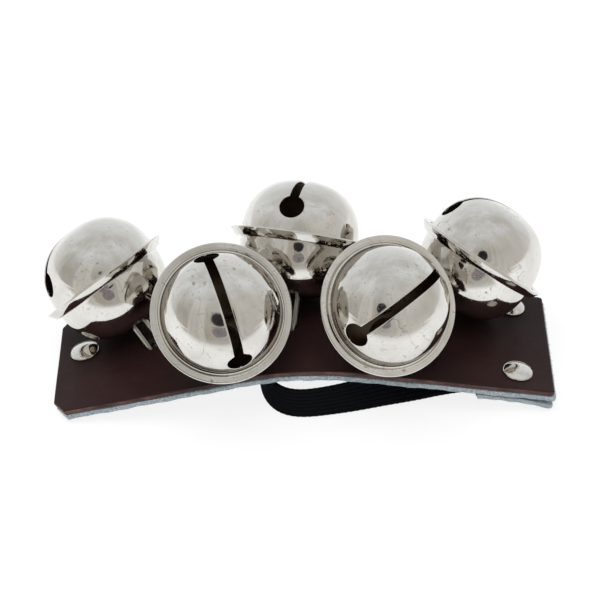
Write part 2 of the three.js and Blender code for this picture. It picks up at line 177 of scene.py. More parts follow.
class Thread:
    """One output in a node tree. Arithmetic adds Math nodes, and node() adds any other."""

    def __init__(self, tree, socket=None):
        self.tree, self.socket = tree, socket

    def node(self, kind, inputs=(), out=0, **settings):
        made = self.tree.nodes.new(kind)
        for key, value in settings.items():
            setattr(made, key, value)
        for key, value in dict(inputs).items():
            if isinstance(value, Thread):
                self.tree.links.new(value.socket, made.inputs[key])
            else:
                made.inputs[key].default_value = value
        return Thread(self.tree, made.outputs[out])

    def math(self, operation, first, second=0.0):
        return self.node("ShaderNodeMath", {0: first, 1: second}, operation=operation)

    def __add__(self, other):
        return self.math("ADD", self, other)

    def __radd__(self, other):
        return self.math("ADD", other, self)

    def __sub__(self, other):
        return self.math("SUBTRACT", self, other)

    def __rsub__(self, other):
        return self.math("SUBTRACT", other, self)

    def __mul__(self, other):
        return self.math("MULTIPLY", self, other)

    def __rmul__(self, other):
        return self.math("MULTIPLY", other, self)


def finish(name, constants):
    """A new material: its start for nodes, and its shader with what is the same all over."""
    material = bpy.data.materials.new(name)
    material.use_nodes = True
    shader = material.node_tree.nodes["Principled BSDF"]
    for key, value in constants.items():
        shader.inputs[key].default_value = value
    return material, Thread(material.node_tree), shader


def feed(shader, **threads):
    for key, thread in threads.items():
        socket = shader.inputs[key.replace("_", " ").title()]
        thread.tree.links.new(thread.socket, socket)


def blended(share, first, second):
    inputs = {0: share, 6: first, 7: second}
    return share.node("ShaderNodeMix", inputs, 2, data_type="RGBA")


def mottle(at, scale, detail=3.0, rough=0.5):
    inputs = {"Vector": at, "Scale": scale, "Detail": detail, "Roughness": rough}
    return at.node("ShaderNodeTexNoise", inputs)


def span(value, low, high, to_low=0.0, to_high=1.0):
    """The value's range stretched to a new one, and held there."""
    inputs = {0: value, 1: low, 2: high, 3: to_low, 4: to_high}
    return value.node("ShaderNodeMapRange", inputs)


def stretched(at, x, y, z):
    return at.node("ShaderNodeMapping", {"Vector": at, "Scale": (x, y, z)})


def relief(height, strength, depth):
    inputs = {"Strength": strength, "Distance": depth, "Height": height}
    return height.node("ShaderNodeBump", inputs)


leather_finish, hide, hide_shader = finish(
    "leather_grain", {"Coat Roughness": 0.4, "Specular IOR Level": 0.12}
)
place = hide.node("ShaderNodeTexCoord", out="Object")
pores = hide.node("ShaderNodeTexVoronoi", {"Vector": place, "Scale": 1900}, feature="F1")
cloud = mottle(place, 90, 5)
grain = mottle(place, 2600, 4, 0.6)
rub = span(mottle(stretched(place, 1, 3, 1), 240, 6, 0.65), 0.55, 0.75)
leather_tone = blended(cloud, (0.014, 0.0055, 0.0055, 1), (0.027, 0.0115, 0.0112, 1))
leather_tone = blended(rub * 0.35, leather_tone, (0.044, 0.021, 0.02, 1))
feed(
    hide_shader,
    base_color=leather_tone,
    roughness=span(grain + rub * 0.5, 0.3, 1.1, 0.36, 0.56),
    coat_weight=span(cloud, 0.3, 0.7, 0.0, 0.06),
    normal=relief(grain * 0.5 + pores * 0.5 + cloud * 0.6, 0.35, 0.00012),
)

raw_edge_finish, raw, raw_shader = finish("leather_raw_edge", {"Roughness": 0.85})
place = raw.node("ShaderNodeTexCoord", out="Object")
strands = mottle(stretched(place, 0.25, 0.25, 1.6), 1800, 5, 0.7)
stain = mottle(place, 160, 3)
edge_tone = blended(span(strands, 0.3, 0.7), (0.03, 0.0125, 0.0115, 1), (0.17, 0.078, 0.066, 1))
edge_tone = blended(span(stain, 0.4, 0.65), edge_tone, (0.03, 0.013, 0.012, 1))
feed(raw_shader, base_color=edge_tone, normal=relief(strands, 0.6, 0.0002))


def stations_between(start, stop, *corners):
    """Places along the strap, a cell apart, with those where its outline has a corner."""
    count = int((stop - start) / STRAP_CELL)
    return np.unique(np.concatenate([np.linspace(start, stop, count), *corners]))


def round_corner(end):
    turn = np.linspace(0, math.pi / 2, 7)
    return end - RIGHT_CORNER * (1 - np.sin(turn))


def half_width(s, left, right):
    """Half the width of a strap sheet, less its cut left corners and round right ones."""
    cut_off = np.clip(1 - (s - left) / LEFT_CORNER[0], 0, 1) * LEFT_CORNER[1]
    into = np.clip((s - right) / RIGHT_CORNER + 1, 0, 1)
    return STRAP_WIDTH / 2 - cut_off - RIGHT_CORNER * (1 - np.sqrt(1 - into**2))


def strap_sheet(name, stations, half_at, top, thickness, edge, materials):
    """A sheet on the strap, its upper face given by top(s, y), with rounded edges."""
    inset = edge * (1 - np.cos(np.linspace(0, math.pi / 2, EDGE_ROWS)))
    left, right = stations[0], stations[-1]
    inner = stations[(stations > left + edge) & (stations < right - edge)]
    s = np.concatenate([left + inset, inner, right - inset[::-1]])
    half = half_at(s) * (1 + EDGE_WAVER * np.sin(s * 210 + 1) * np.sin(s * 83 + 2))
    flat = np.linspace(-1, 1, STRAP_COLUMNS + 1)[1:-1]
    y = np.concatenate(
        [inset - half[:, None], flat * (half[:, None] - edge), half[:, None] - inset[::-1]], axis=1
    )
    s = np.repeat(s[:, None], y.shape[1], axis=1)
    to_edge = np.minimum(half[:, None] - np.abs(y), np.minimum(s - left, right - s))
    pinch = edge - np.sqrt(edge**2 - (edge - np.clip(to_edge, 0, edge)) ** 2)
    upper = on_strap(s, y, top(s, y) - pinch)
    lower = on_strap(s, y, top(s, y) - thickness + pinch)
    rows, row = y.shape
    under = rows * row
    quads = [
        (i * row + j, (i + 1) * row + j, (i + 1) * row + j + 1, i * row + j + 1)
        for i in range(rows - 1)
        for j in range(row - 1)
    ]
    faces = quads + [tuple(under + k for k in reversed(quad)) for quad in quads]
    around = [i * row for i in range(rows)]
    around += [(rows - 1) * row + j for j in range(1, row)]
    around += [i * row + row - 1 for i in range(rows - 2, -1, -1)]
    around += list(range(row - 2, 0, -1))
    wall = [(under + k, under + m, m, k) for k, m in zip(around, around[1:] + around[:1])]
    points = np.concatenate([upper.reshape(-1, 3), lower.reshape(-1, 3)])
    made = piece(name, points, faces + wall, *materials)
    quad_depth = np.maximum(to_edge[1:, 1:], to_edge[:-1, :-1]).ravel()
    raw_part = [quad_depth < edge / 2, quad_depth < edge, np.ones(len(wall), bool)]
    slots = np.concatenate(raw_part).astype(np.int32) * (len(materials) - 1)
    made.data.polygons.foreach_set("material_index", slots)
    return made


def leather_half(s):
    return half_width(s, LEFT_END, RIGHT_END)


def leather_top(s, y):
    waves = np.sin(s * 170 + y * 90) + np.sin(y * 260 - s * 60)
    return LEATHER_RIPPLE * waves - LEATHER_SINK


leather = strap_sheet(
    "leather_plate",
    stations_between(LEFT_END, RIGHT_END, [LEFT_END + LEFT_CORNER[0]], round_corner(RIGHT_END)),
    leather_half,
    leather_top,
    LEATHER - LEATHER_SPARE,
    LEATHER_ROUND,
    (leather_finish, raw_edge_finish),
)


def tube_faces(rows, size, first=0, closed=False):
    """Quads between rings of points, and from the last ring to the first one if closed."""
    return [
        (first + i * size + j, first + i * size + (j + 1) % size,
         first + (i + 1) % rows * size + (j + 1) % size, first + (i + 1) % rows * size + j)
        for i in range(rows if closed else rows - 1)
        for j in range(size)
    ]


def end_faces(rows, size, first=0):
    """The faces that close the first and the last ring."""
    last = first + (rows - 1) * size
    return [[first + j for j in reversed(range(size))], [last + j for j in range(size)]]


seats = {}
punch_points, punch_faces = [], []
for name, (along, across, yaw, lean, _) in BELLS.items():
    seat = seat_of(along * BELL_R, across * BELL_R, math.radians(yaw))
    seats[name] = seat
    lean = math.radians(lean)
    half_wide = LOOP_OUTER_R + HOLE_SIDE_ROOM
    half_long = (LEATHER * math.tan(lean) + 2 * WIRE_R / math.cos(lean) + HOLE_SWING_ROOM) / 2
    forward = (PIN_DEPTH - LEATHER / 2) * math.tan(lean)
    punch_faces += tube_faces(2, HOLE_SIDES, len(punch_points))
    punch_faces += end_faces(2, HOLE_SIDES, len(punch_points))
    for height in (-PUNCH_REACH, PUNCH_REACH):
        for turn in np.linspace(0, 2 * math.pi, HOLE_SIDES, endpoint=False):
            x = half_wide * np.sign(math.cos(turn)) * abs(math.cos(turn)) ** HOLE_SQUARING
            y = half_long * np.sign(math.sin(turn)) * abs(math.sin(turn)) ** HOLE_SQUARING
            punch_points.append(seat @ Vector((x, forward + y, height)))
punch = piece("loop_hole_punch", punch_points, punch_faces, raw_edge_finish)
holes = leather.modifiers.new("holes", "BOOLEAN")
holes.object, holes.solver, holes.material_mode = punch, "EXACT", "TRANSFER"
settled(leather)
bpy.data.objects.remove(punch)
smooth_by_angle(leather, CREASE)
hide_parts("leather_strap")
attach(leather, "strap")

# Suede lining: a pale blue-grey split suede glued under the leather, nap side down. It
# stands out a little at the right end, and bulges over the pins that hold the wire loops.
LINING = 1.2 * MM
GLUE = 0.15 * MM
LINING_BEYOND_RIGHT = 0.6 * MM
LINING_SHORT_LEFT = 0.3 * MM
NAP_RISE = 0.22 * MM
LINING_RIPPLE = 0.06 * MM
LINING_SINK = 0.08 * MM
LINING_FRAY = 0.18 * MM
LINING_SPARE = 0.1 * MM
LINING_ROUND = 0.3 * MM
LINING_TOP = -LEATHER - GLUE
FIBRES, FIBRE_LENGTH = 5e6, 0.6 * MM
FIBRE_TIP_R, FIBRE_ROOT_R = 0.012 * MM, 0.035 * MM
POCKET_WIDE, POCKET_LONG, POCKET_DEEP = 3.9 * MM, 6.2 * MM, 2.95 * MM
SUEDE_CREASE = 60
WELD = 1e-6

suede_finish, nap, nap_shader = finish(
    "suede_nap",
    {
        "Roughness": 0.95,
        "Sheen Weight": 0.35,
        "Sheen Roughness": 0.5,
        "Sheen Tint": (0.8, 0.9, 0.95, 1),
    },
)
place = nap.node("ShaderNodeTexCoord", out="Object")
fuzz = mottle(place, 2400, 6, 0.75)
brushed = mottle(stretched(place, 1, 1.6, 1), 420, 5, 0.65)
rubbed = mottle(place, 110, 3)
suede_tone = blended(span(fuzz, 0.34, 0.66), (0.1, 0.135, 0.155, 1), (0.56, 0.62, 0.65, 1))
suede_tone = blended(span(brushed, 0.4, 0.75, 0, 0.5), suede_tone, (0.2, 0.255, 0.285, 1))
suede_tone = blended(span(rubbed, 0.5, 0.75, 0, 0.4), suede_tone, (0.56, 0.62, 0.65, 1))
feed(nap_shader, base_color=suede_tone, normal=relief(fuzz + brushed * 0.8, 0.8, 0.00025))


def axis_of(vector, k):
    return vector.node("ShaderNodeSeparateXYZ", {0: vector}, k)


def geometry_tree(name, sizes):
    """A new Geometry Nodes tree with named sizes, its start, and those sizes as threads."""
    tree = bpy.data.node_groups.new(name, "GeometryNodeTree")
    tree.interface.new_socket("Geometry", in_out="INPUT", socket_type="NodeSocketGeometry")
    for label, kind in sizes.items():
        tree.interface.new_socket(label, in_out="INPUT", socket_type=kind)
    tree.interface.new_socket("Geometry", in_out="OUTPUT", socket_type="NodeSocketGeometry")
    given = tree.nodes.new("NodeGroupInput")
    threads = {socket.name: Thread(tree, socket) for socket in given.outputs if socket.name}
    return tree, Thread(tree), threads


def ends_in(tree, thread, material):
    """Every tree ends in real geometry with its material set."""
    whole = thread.node("GeometryNodeRealizeInstances", {"Geometry": thread})
    painted = whole.node("GeometryNodeSetMaterial", {"Geometry": whole, "Material": material})
    last = tree.nodes.new("NodeGroupOutput")
    tree.links.new(painted.socket, last.inputs[0])


def faced_outward(made, weld=None):
    """The piece with its normals outwards, and its doubles merged first where asked for."""
    form = bmesh.new()
    form.from_mesh(made.data)
    if weld:
        bmesh.ops.remove_doubles(form, verts=form.verts, dist=weld)
    bmesh.ops.recalc_face_normals(form, faces=form.faces)
    form.to_mesh(made.data)
    form.free()
    return made


def grown(made, tree, **values):
    """The piece that the tree grows from this one, as a plain mesh facing outwards."""
    growth = made.modifiers.new(tree.name, "NODES")
    growth.node_group = tree
    for item in tree.interface.items_tree:
        key = item.name.lower().replace(" ", "_")
        if item.in_out == "INPUT" and key in values:
            growth[item.identifier] = values[key]
    return faced_outward(settled(made), WELD)


# loose fibres that stand out of the cut edges of a sheet
fray_tree, start, size = geometry_tree(
    "frayed_edge", {"Fibres": "NodeSocketFloat", "Fibre length": "NodeSocketFloat"}
)
facing = axis_of(start.node("GeometryNodeInputNormal"), 2)
facing = facing.math("ABSOLUTE", facing)
roots = start.node(
    "GeometryNodeDistributePointsOnFaces",
    {
        "Mesh": size["Geometry"],
        "Selection": facing.math("LESS_THAN", facing, 0.6),
        "Density": size["Fibres"],
        "Seed": 5,
    },
)
stance = Thread(fray_tree, roots.socket.node.outputs["Rotation"])
bow = start.node(
    "FunctionNodeRandomValue",
    {0: (-1.0, -1.0, 0), 1: (1.0, 1.0, 6.2), "Seed": 2},
    data_type="FLOAT_VECTOR",
)
bow = bow.node("FunctionNodeEulerToRotation", {0: bow})
stance = stance.node(
    "FunctionNodeRotateRotation", {"Rotation": stance, "Rotate By": bow}, rotation_space="LOCAL"
)
lengths = start.node("FunctionNodeRandomValue", {2: 0.3, 3: 1.0, "Seed": 9}, 1, data_type="FLOAT")
fibre = start.node(
    "GeometryNodeMeshCone",
    {
        "Vertices": 3,
        "Side Segments": 2,
        "Radius Top": FIBRE_TIP_R,
        "Radius Bottom": FIBRE_ROOT_R,
        "Depth": size["Fibre length"],
    },
)
fibres = roots.node(
    "GeometryNodeInstanceOnPoints",
    {"Points": roots, "Instance": fibre, "Rotation": stance, "Scale": lengths},
)
fibres = fibres.node("GeometryNodeRealizeInstances", {"Geometry": fibres})
whole = fibres.node("GeometryNodeJoinGeometry")
for part in (fibres, size["Geometry"]):
    fray_tree.links.new(part.socket, whole.socket.node.inputs[0])
ends_in(fray_tree, whole, suede_finish)


def pocket_depth(s, y):
    """How far the lining is pushed down by the pin and loop of each bell."""
    depth = np.zeros_like(s)
    for along, across, yaw, *_ in BELLS.values():
        ds, dy, yaw = s - along * BELL_R, y - across * BELL_R, math.radians(yaw)
        sideways = (ds * math.cos(yaw) - dy * math.sin(yaw)) / POCKET_WIDE
        endways = (ds * math.sin(yaw) + dy * math.cos(yaw)) / POCKET_LONG
        inside = np.clip(1 - sideways**2 - endways**2, 0, 1)
        depth = np.maximum(depth, POCKET_DEEP * inside**0.75)
    return depth


def lining_top(s, y):
    ripple = LINING_RIPPLE * np.sin(s * 330 + 2) * np.sin(y * 190)
    return LINING_TOP + NAP_RISE - pocket_depth(s, y) + ripple - LINING_SINK


lining_left, lining_right = LEFT_END + LINING_SHORT_LEFT, RIGHT_END + LINING_BEYOND_RIGHT


def lining_half(s):
    fray = LINING_FRAY * np.sin(s * 900) * np.sin(s * 370 + 1)
    return half_width(s, lining_left, lining_right) + fray


lining_corners = [lining_left + LEFT_CORNER[0]], round_corner(lining_right)
lining = strap_sheet(
    "suede_lining_sheet",
    stations_between(lining_left, lining_right, *lining_corners),
    lining_half,
    lining_top,
    LINING + NAP_RISE - LINING_SPARE,
    LINING_ROUND,
    (suede_finish,),
)
grown(lining, fray_tree, fibres=FIBRES, fibre_length=FIBRE_LENGTH)
smooth_by_angle(lining, SUEDE_CREASE)
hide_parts("suede_lining")
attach(lining, "strap")

# Elastic: one length of flat black braided elastic, eight ribs wide. Its two ends lie under
# the right end of the strap, and the slack between them lies on the table as a loop.
ELASTIC_WIDTH = 8 * MM
ELASTIC = 1.1 * MM
ELASTIC_GAP = 0.15 * MM
PATCH_LENGTH = 18.2 * MM
TAB_FROM_END = 2.5 * MM
FOLD_GAP = 0.6 * MM
TAB_Y = (-12.3 * MM, 13.5 * MM)
RIBS = 8
RIB_STEPS = 5
RIB_DEPTH = 0.16 * MM
BAND_STEP = 0.55 * MM
BAND_SHOULDER = 14
BAND_PASSES = 60
NIBBLE, NIBBLE_PITCH = 0.012, 0.9 * MM
TABLE_GAP = 0.05 * MM
TAB_POINTS = 8
UP = np.array([0, 0, 1.0])
STRAP_LENGTH = RIGHT_END - LEFT_END
PATCH_START = RIGHT_END - PATCH_LENGTH
TAB_MIDDLE = LINING_TOP - LINING - ELASTIC_GAP - ELASTIC / 2
# middle of the band, in lengths and widths of the strap and widths of the elastic, and how
# far it is turned up on its edge, in degrees
FREE_LOOP = (
    (0.29, -0.32, 0.59, 11),
    (0.23, -0.322, 0.5, 32),
    (0.164, -0.358, 0.485, 55),
    (0.082, -0.452, 0.512, 78),
    (0.0, -0.503, 0.512, 86),
    (-0.036, -0.482, 0.51, 86),
    (-0.061, -0.395, 0.51, 86),
    (-0.075, -0.284, 0.51, 86),
    (-0.081, -0.105, 0.51, 86),
    (-0.081, 0.105, 0.51, 86),
    (-0.07, 0.284, 0.51, 86),
    (-0.038, 0.418, 0.51, 86),
    (0.016, 0.458, 0.51, 84),
    (0.09, 0.442, 0.5, 72),
    (0.164, 0.421, 0.475, 54),
    (0.23, 0.392, 0.45, 36),
    (0.295, 0.366, 0.537, 16),
)

elastic_finish, braid, braid_shader = finish(
    "elastic_braid", {"Roughness": 0.8, "Specular IOR Level": 0.05}
)
uv = braid.node("ShaderNodeUVMap", uv_map="band")
knot_groove_bump_and_shade = braid.node(
    "ShaderNodeTexBrick",
    {"Vector": uv, "Scale": 1, "Mortar Size": 0.12, "Brick Width": 0.7, "Row Height": 0.5},
    "Fac",
)
lint = mottle(braid.node("ShaderNodeTexCoord", out="Object"), 1500, 4, 0.7)
# the crests of the ribs are painted lighter as a highlight, broken up by the lint noise
crest_highlight = axis_of(uv, 1) * math.pi
crest_highlight = crest_highlight.math("SINE", crest_highlight)
elastic_tone = blended(lint, (0.001, 0.0011, 0.0015, 1), (0.005, 0.0056, 0.0075, 1))
elastic_tone = blended(crest_highlight * crest_highlight * lint, elastic_tone, (0.012, 0.0135, 0.018, 1))
# the lines between the knots are painted near black as shade in the grooves, and are also pressed
# in as bump
elastic_tone = blended(knot_groove_bump_and_shade * 0.6, elastic_tone, (0.0008, 0.0008, 0.001, 1))
feed(braid_shader, base_color=elastic_tone, normal=relief(lint * 0.5 - knot_groove_bump_and_shade, 0.6, 0.00012))

route, turns = [], []
table_shift = np.array([CROWN[0], CROWN[1], TABLE_GAP])
tab_stations = np.linspace(RIGHT_END - TAB_FROM_END, PATCH_START - FOLD_GAP, TAB_POINTS)
for s in tab_stations:
    route.append(on_strap(s, TAB_Y[0], TAB_MIDDLE))
    turns.append(0)
for x, y, z, turn in FREE_LOOP:
    route.append(np.array([x * STRAP_LENGTH, y * STRAP_WIDTH, z * ELASTIC_WIDTH]) + table_shift)
    turns.append(math.radians(turn))
for s in tab_stations[::-1]:
    route.append(on_strap(s, TAB_Y[1], TAB_MIDDLE))
    turns.append(0)
route, turns = np.array(route), np.array(turns)
reach = np.concatenate([[0], np.cumsum(np.linalg.norm(np.diff(route, axis=0), axis=1))])
ELASTIC_LENGTH = reach[-1]
steps = np.linspace(0, ELASTIC_LENGTH, int(ELASTIC_LENGTH / BAND_STEP))
band = np.stack([np.interp(steps, reach, route[:, k]) for k in range(3)], axis=1)
upturn = np.interp(steps, reach, turns)
for _ in range(BAND_PASSES):
    band[1:-1] += 0.5 * ((band[:-2] + band[2:]) / 2 - band[1:-1])
    upturn[1:-1] += 0.5 * ((upturn[:-2] + upturn[2:]) / 2 - upturn[1:-1])


def unit(vectors):
    return vectors / np.linalg.norm(vectors, axis=1)[:, None]


heading = unit(np.gradient(band, axis=0))
sideways = unit(np.cross(UP, heading))
wide = sideways * np.cos(upturn)[:, None] - UP * np.sin(upturn)[:, None]
thick = unit(np.cross(heading, wide))

across_band = np.linspace(-1, 1, RIBS * RIB_STEPS + 1)
crest = np.abs(np.sin((across_band + 1) / 2 * RIBS * math.pi)) ** 0.5
shoulder = np.sqrt(np.clip(1 - np.abs(across_band) ** BAND_SHOULDER, 0, 1))
profile_half = ELASTIC / 2 * shoulder - RIB_DEPTH * (1 - crest) * (shoulder > 0.5)
around = np.concatenate([across_band, across_band[-2:0:-1]])
height = np.concatenate([profile_half, -profile_half[-2:0:-1]])
nibble = 1 + NIBBLE * np.sin(steps / NIBBLE_PITCH * 2 * math.pi)
rings = (
    band[:, None, :]
    + wide[:, None, :] * (around[None, :, None] * ELASTIC_WIDTH / 2 * nibble[:, None, None])
    + thick[:, None, :] * height[None, :, None]
)
band_size = len(steps), around.size
band_faces = tube_faces(*band_size) + end_faces(*band_size)
elastic = piece("elastic_band", rings.reshape(-1, 3), band_faces, elastic_finish)
layer = elastic.data.uv_layers.new(name="band")
for corner in elastic.data.loops:
    i, j = divmod(corner.vertex_index, around.size)
    layer.data[corner.index].uv = (steps[i] / MM, around[j] * RIBS / 2)
faced_outward(elastic)
fold = on_strap(PATCH_START, TAB_Y[0], TAB_MIDDLE)
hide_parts("elastic_loop", "elastic_tab_front", "elastic_tab_rear")
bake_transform(elastic)

# Suede patch: a second piece of the same suede under the right end. It covers the ends of
# the elastic, and is held by the two rivets that go through all the layers.
PATCH = 1.1 * MM
PATCH_TOP = TAB_MIDDLE - ELASTIC / 2 - ELASTIC_GAP
PINCH = 1.2 * MM
PINCH_RUN = 2 * MM
OPEN_RUN, OPEN_SHARE = 9 * MM, 0.85
PATCH_FRAY = 0.2 * MM
PATCH_SINK = 0.05 * MM
PATCH_ROUND = 0.28 * MM


def patch_top(s, y):
    """The patch lies low over the elastic, and is drawn up to the lining beside it."""
    off_tab = np.minimum(np.abs(y - TAB_Y[0]), np.abs(y - TAB_Y[1])) - ELASTIC_WIDTH / 2
    up = np.clip(off_tab / PINCH_RUN, 0, 1)
    open_end = np.clip((s - RIGHT_END + OPEN_RUN) / OPEN_RUN, 0, 1)
    up = up * up * (3 - 2 * up) * (1 - OPEN_SHARE * open_end)
    return PATCH_TOP + PINCH * up - PATCH_SINK


patch_right = RIGHT_END + LINING_BEYOND_RIGHT / 2


def patch_half(s):
    fray = PATCH_FRAY * np.sin(s * 1100 + 2) * np.sin(s * 410)
    return half_width(s, LEFT_END, patch_right) + fray


patch = strap_sheet(
    "suede_patch",
    stations_between(PATCH_START, patch_right, round_corner(patch_right)),
    patch_half,
    patch_top,
    PATCH - PATCH_SINK,
    PATCH_ROUND,
    (suede_finish,),
)
grown(patch, fray_tree, fibres=FIBRES, fibre_length=FIBRE_LENGTH)
smooth_by_angle(patch, SUEDE_CREASE)
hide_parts("elastic_patch")
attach(patch, "strap")

# Rivets: three nickel-plated tubular rivets, a low domed cap with a thin rim above and a
# smaller cap below. Two hold the elastic, and the left one keeps the slipped loop from
# sliding off.
CAP_R, CAP_H = 3.7 * MM, 1.2 * MM
BACK_R, BACK_H = 3.2 * MM, 1 * MM
CAP_RIM, BACK_RIM = 0.38 * MM, 0.3 * MM
CAP_SINK, BACK_SINK = 0.02 * MM, 0.12 * MM
BACK_SPARE = 0.1 * MM
POST_R = 1.45 * MM
POST_FILLET = 0.1 * MM
POST_SHORT = 0.4 * MM
STUB_R, STUB_REACH = 0.9 * POST_R, 0.05 * MM
RIVET_FROM_RIGHT = 8.6 * MM
STUD = (LEFT_END + 6.7 * MM, 3.2 * MM)
RIVET_SIDES = 72

nickel_finish, plate, plate_shader = finish("nickel_plate", {"Metallic": 1.0})
place = plate.node("ShaderNodeTexCoord", out="Object")
inner = plate.node("ShaderNodeAttribute", out="Fac", attribute_name="inner")
haze = mottle(place, 130, 4)
pits = span(mottle(place, 750, 2, 0.5), 0.645, 0.7)
specks = span(mottle(place, 1700, 2, 0.5), 0.65, 0.7)
wander = mottle(place, 75, 2, 0.45) - 0.5
hairline = span(wander.math("ABSOLUTE", wander), 0.0, 0.004, 1.0, 0.0)
hairline = hairline * span(mottle(place, 64, 2), 0.55, 0.63)
scratch = span(mottle(stretched(place, 1, 14, 3), 160, 3, 0.6), 0.64, 0.7)
scuff = span(mottle(stretched(place, 9, 1, 12), 190, 3, 0.6), 0.65, 0.71)
marks = (pits + specks * 0.7) * span(haze, 0.45, 0.65)
nickel_tone = blended(span(haze, 0.3, 0.7), (0.665, 0.642, 0.595, 1), (0.84, 0.826, 0.79, 1))
nickel_tone = blended((scratch + scuff) * 0.3, nickel_tone, (0.4, 0.37, 0.33, 1))
nickel_tone = blended(span(marks, 0, 1, 0, 0.65), nickel_tone, (0.22, 0.18, 0.14, 1))
nickel_tone = blended(hairline * 0.5, nickel_tone, (0.26, 0.23, 0.19, 1))
# inside the bell the nickel is painted dark brown as shade
nickel_tone = blended(inner * 0.92, nickel_tone, (0.34, 0.25, 0.16, 1))
feed(
    plate_shader,
    base_color=nickel_tone,
    roughness=span(haze, 0.3, 0.75, 0.045, 0.11) + marks * 0.2 + inner * 0.35,
    normal=relief(haze * 0.6 - marks * 0.12 - scratch * 0.05 - scuff * 0.05, 0.22, 0.00035),
)


def loose_line(name, *runs):
    """An object of open runs of points, for a tree to work on."""
    mesh = bpy.data.meshes.new(name)
    points, edges = [], []
    for run in runs:
        first = len(points)
        points += [tuple(p) for p in run]
        edges += [(first + i, first + i + 1) for i in range(len(run) - 1)]
    mesh.from_pydata(points, edges, [])
    made = bpy.data.objects.new(name, mesh)
    bpy.context.scene.collection.objects.link(made)
    return made


# a profile of radius (X) and height (Z), turned about Z and set on each seat
turned_tree, start, size = geometry_tree(
    "turned_on_seats",
    {"Rows": "NodeSocketInt", "Sides": "NodeSocketInt", "Seats": "NodeSocketObject"},
)
lattice = start.node(
    "GeometryNodeMeshGrid",
    {"Size X": 1.0, "Size Y": 1.0, "Vertices X": size["Sides"], "Vertices Y": size["Rows"]},
)
spot = start.node("GeometryNodeInputPosition")
turn = (axis_of(spot, 0) + 0.5) * (2 * math.pi)
row = (axis_of(spot, 1) + 0.5) * (size["Rows"] - 1)
row = row.node("FunctionNodeFloatToInt", {0: row}, rounding_mode="ROUND")
profile = row.node(
    "GeometryNodeSampleIndex",
    {"Geometry": size["Geometry"], "Value": spot, "Index": row},
    data_type="FLOAT_VECTOR",
    domain="POINT",
)
radius, rise = axis_of(profile, 0), axis_of(profile, 2)
swung = radius.node(
    "ShaderNodeCombineXYZ",
    {0: radius * turn.math("COSINE", turn), 1: radius * turn.math("SINE", turn), 2: rise},
)
body = lattice.node("GeometryNodeSetPosition", {"Geometry": lattice, "Position": swung})
body = body.node("GeometryNodeMergeByDistance", {"Geometry": body, "Distance": WELD})
points = start.node("GeometryNodeObjectInfo", {"Object": size["Seats"]}, "Geometry")
lie = start.node("GeometryNodeInputNamedAttribute", {"Name": "lie"}, data_type="FLOAT_VECTOR")
lie = lie.node("FunctionNodeEulerToRotation", {0: lie})
copies = points.node(
    "GeometryNodeInstanceOnPoints", {"Points": points, "Instance": body, "Rotation": lie}
)
ends_in(turned_tree, copies, nickel_finish)


def dome_profile(radius, height, rim, post, reach):
    """Half a section of a cap: the axis, a low dome, a thin rim, and the post under it."""
    share = np.linspace(0, 0.9, 14)
    dome = [(radius * k, rim + (height - rim) * (1 - (k / 0.92) ** 2) ** 0.9) for k in share]
    lip = [(radius * 0.935, rim * 0.9), (radius * 0.97, rim), (radius * 0.99, rim * 0.8)]
    under = [(radius, rim * 0.45), (radius * 0.985, rim * 0.1), (radius * 0.96, 0)]
    stem = [(post * 1.1, 0), (post, -POST_FILLET), (post, -reach), (0, -reach)]
    return [(r, 0, z) for r, z in dome + lip + under + stem]


def turned_piece(name, outline, seat):
    """A turned piece on its seat, which is a point with the seat's turn as an attribute."""
    made = loose_line(name, outline)
    seats_at = loose_line(name + "_seat", [seat.translation])
    lies = seats_at.data.attributes.new("lie", "FLOAT_VECTOR", "POINT")
    lies.data[0].vector = seat.to_euler()
    grown(made, turned_tree, rows=len(outline), sides=RIVET_SIDES, seats=seats_at)
    smooth_by_angle(made, CREASE)
    bpy.data.objects.remove(seats_at)
    return made


rivet_s = RIGHT_END - RIVET_FROM_RIGHT
rivet_seats = {
    "front": (seat_of(rivet_s, TAB_Y[0]), PATCH_TOP - PATCH),
    "rear": (seat_of(rivet_s, TAB_Y[1]), PATCH_TOP - PATCH),
    "left": (seat_of(*STUD), LINING_TOP - LINING),
}
for name, (seat, under) in rivet_seats.items():
    cap_outline = dome_profile(CAP_R, CAP_H, CAP_RIM, POST_R, -under - POST_SHORT)
    sunk = Matrix.Translation((0, 0, -CAP_SINK))
    cap = turned_piece("rivet_head_" + name, cap_outline, seat @ sunk)
    back_outline = dome_profile(BACK_R, BACK_H - BACK_SPARE, BACK_RIM, STUB_R, STUB_REACH)
    flip = Matrix.Translation((0, 0, under - BACK_SINK)) @ Matrix.Rotation(math.pi, 4, "X")
    back = turned_piece("rivet_tail_" + name, back_outline, seat @ flip)
    for made, node in ((cap, "rivet_cap_"), (back, "rivet_back_")):
        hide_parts(node + name)
        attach(made, "strap")

# Loop pins: a short cut of steel wire through each wire loop, under the leather. They hold
# the bells on, and the lining covers them.
PIN_R = 0.5 * MM
PIN_LENGTH = 9 * MM
PIN_BEND = 1 * MM
WIRE_SIDES = 20
BEND_STEPS = 6

steel_finish, bare, bare_shader = finish("bare_steel", {"Metallic": 1.0})
place = bare.node("ShaderNodeTexCoord", out="Object")
film = mottle(place, 500, 4, 0.6)
rust = span(mottle(place, 900, 3), 0.6, 0.72)
steel_tone = blended(film, (0.36, 0.35, 0.33, 1), (0.52, 0.51, 0.49, 1))
steel_tone = blended(rust * 0.7, steel_tone, (0.16, 0.07, 0.03, 1))
feed(
    bare_shader,
    base_color=steel_tone,
    roughness=span(film, 0.3, 0.7, 0.25, 0.45) + rust * 0.3,
    normal=relief(film - rust * 0.5, 0.3, 0.0002),
)

